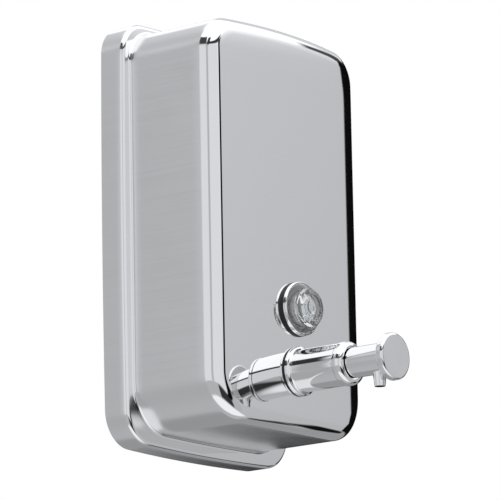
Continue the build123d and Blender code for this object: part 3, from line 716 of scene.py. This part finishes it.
RETURN_SEAT, RETURN_LENGTH = 1.5, 16.5
RETURN_RADIUS, RETURN_WIRE, RETURN_COILS = 6.4, 1.0, 5.5
OUTLET_RADIUS, OUTLET_WIRE, OUTLET_COILS = 2.3, 0.4, 6
outlet_low, outlet_high = box_mm("outlet_spring")
return_coil = coil_piece(
    "return_coil", RETURN_SEAT, RETURN_LENGTH, RETURN_RADIUS, RETURN_WIRE, RETURN_COILS,
    "dispenser", "return_spring",
)
outlet_coil = coil_piece(
    "outlet_coil", -outlet_high.y - FRONT_DEPTH, outlet_high.y - outlet_low.y, OUTLET_RADIUS,
    OUTLET_WIRE, OUTLET_COILS, "plunger", "outlet_spring",
)
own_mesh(return_coil)
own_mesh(outlet_coil)

# ------------------------------------------------------------------------------------------
# Studio: panels of light and dark round the dispenser, and a pale floor
# ------------------------------------------------------------------------------------------

world = bpy.data.worlds.new("studio")
scene.world = world
world.use_nodes = True
world.node_tree.nodes.clear()
sky = Shader(world.node_tree)
direction = sky.node("ShaderNodeTexCoord").outputs["Generated"]
ray = sky.node("ShaderNodeSeparateXYZ", Vector=direction).outputs
azimuth = sky.math("MULTIPLY", sky.math("ARCTAN2", ray[1], ray[0]), 180 / pi)
elevation = sky.math("MULTIPLY", sky.math("ARCSINE", ray[2]), 180 / pi)


def card_mask(centre, half, soft, low, high, edge, lean):
    """1 inside a panel of the studio, given in degrees of azimuth and elevation, 0 outside it."""
    middle = (low + high) / 2
    line = sky.math("MULTIPLY_ADD", elevation, lean, centre - lean * middle)
    turned = sky.math("WRAP", sky.math("SUBTRACT", azimuth, line), 180.0, -180.0)
    beside = sky.remap(sky.math("ABSOLUTE", turned), half - soft, half + soft, 1.0, 0.0, True)
    above = sky.remap(elevation, low - edge, low + edge, 0.0, 1.0, True)
    below = sky.remap(elevation, high - edge, high + edge, 1.0, 0.0, True)
    return sky.math("MULTIPLY", beside, sky.math("MULTIPLY", above, below))


# The wall seen in the front grows brighter upwards, and a little darker as the azimuth grows
GLOW_ELEVATIONS, GLOW_LEVELS = (6, 18), (0.53, 0.635)
GLOW_AZIMUTHS, GLOW_SHARES = (-60, -18), (1.03, 0.97)
wall_glow = sky.math(
    "MULTIPLY",
    sky.remap(elevation, *GLOW_ELEVATIONS, *GLOW_LEVELS),
    sky.remap(azimuth, *GLOW_AZIMUTHS, *GLOW_SHARES),
)

# Brightness, azimuth centre, half width and softness, elevation low, high and softness, and
# how many degrees of azimuth the panel leans for each degree of elevation. A later panel
# covers an earlier one
CARDS = [
    (0.34, 35, 48, 8, -60, -9, 4, 0.0),            # floor, right
    (0.70, 22, 22, 8, 16, 62, 6, 0.0),             # ceiling over the top edge
    (0.56, 104, 38, 8, 26, 60, 14, 0.0),           # ceiling behind the wall side
    (0.455, 126, 20, 3, -40, 28, 14, 0.0),         # grey wall seen in the long side
    (1.0, -125, 85, 10, -88, -43, 4, 0.0),         # lit floor, left
    (0.80, -148, 66, 4, -12, 19, 1.5, 0.0),        # light panel seen beside the rounding
    (0.035, -106, 23, 3, -39, -13, 4, 0.0),        # dark stretch under the light panel
    (0.06, -186, 30, 4, 20, 42, 3, 0.0),           # dark gap above the light panel
    (0.04, -110, 42, 3, 20, 26.5, 1.5, 0.0),       # thin gap above the light panel
    (0.50, -155, 6, 3, -12, 19, 1.5, 0.0),         # joint in the light panel
    (0.04, -143, 9, 3, 19, 38, 2, 0.6),            # gap seen along the barrel
    (0.45, 40, 9, 3, 9, 20, 3, 0.0),               # grey band seen along the outline
    (wall_glow, -40, 24, 4, -45, 19, 2.5, 0.0),    # grey wall seen in the front
    (0.004, -68.5, 7.0, 1.0, 5, 21, 1.5, 0.0),     # black flag left of that wall
    (0.004, -79, 5.5, 1.5, -17, 7, 2.0, 0.75),     # the same flag leaning down
    (0.004, 10.4, 30.55, 0.3, -12, 25, 2.0, 0.0),  # black flag right of that wall
    (0.006, -22, 9, 3, -33, -14, 3, 0.0),          # the right flag's foot
    (0.05, -22, 6, 3, -48, -33, 3, -0.5),          # the foot's shadow
    (0.07, -16, 11, 3, 21, 33, 3, 0.8),            # the right flag's head
]

# Behind the panels the studio fades from a grey floor side to a white ceiling, and the camera
# itself sees plain white
FADE_ELEVATIONS, FADE_LEVELS = (2, 26), (0.5, 1.3)
COOL_DAYLIGHT = (0.985, 1.0, 1.035)
WHITE = (1.0, 1.0, 1.0, 1.0)
radiance = sky.remap(elevation, *FADE_ELEVATIONS, *FADE_LEVELS, True)
for brightness, *place in CARDS:
    radiance = sky.blend(card_mask(*place), radiance, brightness)
tinted = sky.node("ShaderNodeCombineColor")
for channel, share in enumerate(COOL_DAYLIGHT):
    sky.feed(tinted, channel, sky.math("MULTIPLY", radiance, share))
from_camera = sky.node("ShaderNodeLightPath").outputs["Is Camera Ray"]
shown = sky.mix(from_camera, tinted.outputs[0], WHITE)
background = sky.node("ShaderNodeBackground", Color=shown)
sky.node("ShaderNodeOutputWorld", Surface=background.outputs[0])

# The floor is in metres, like the camera below
FLOOR_HALF, FLOOR_DROP = 30.0, 1.25
floor_mesh = bpy.data.meshes.new("floor")
floor_mesh.from_pydata(
    [(x * FLOOR_HALF, y * FLOOR_HALF, -FLOOR_DROP) for x, y in ((-1, -1), (1, -1), (1, 1), (-1, 1))],
    [], [(0, 1, 2, 3)],
)
floor_mesh.materials.append(cast(
    "floor_paint", (0.8, 0.8, 0.79), rough=0.7, pebble=400, pebble_depth=0.000005, darkest=0.995
))
floor = bpy.data.objects.new("floor", floor_mesh)
scene.collection.objects.link(floor)
floor.visible_glossy = False

# ------------------------------------------------------------------------------------------
# Camera
# ------------------------------------------------------------------------------------------

VIEW_AZIMUTH, VIEW_ELEVATION, VIEW_ROLL = radians(-51.52), radians(-12.28), radians(-1.07)
AIM_RIGHT, AIM_UP = 0.03183, 0.00054
DISTANCE = 2.0072
FOCAL_LENGTH, SENSOR_WIDTH = 295.8, 36.0

back = Vector((
    sin(VIEW_AZIMUTH) * cos(VIEW_ELEVATION),
    -cos(VIEW_AZIMUTH) * cos(VIEW_ELEVATION),
    sin(VIEW_ELEVATION),
))
right = (-back).cross(Vector((0, 0, 1))).normalized()
up = right.cross(-back)
camera_right = right * cos(VIEW_ROLL) + up * sin(VIEW_ROLL)
camera_up = up * cos(VIEW_ROLL) - right * sin(VIEW_ROLL)
camera_data = bpy.data.cameras.new("camera")
camera_data.lens = FOCAL_LENGTH
camera_data.sensor_width = SENSOR_WIDTH
camera = bpy.data.objects.new("camera", camera_data)
scene.collection.objects.link(camera)
orientation = Matrix((camera_right, camera_up, back)).transposed().to_4x4()
aim = right * AIM_RIGHT + up * AIM_UP
camera.matrix_world = Matrix.Translation(aim + back * DISTANCE) @ orientation
scene.camera = camera
scene.view_settings.view_transform = "Standard"
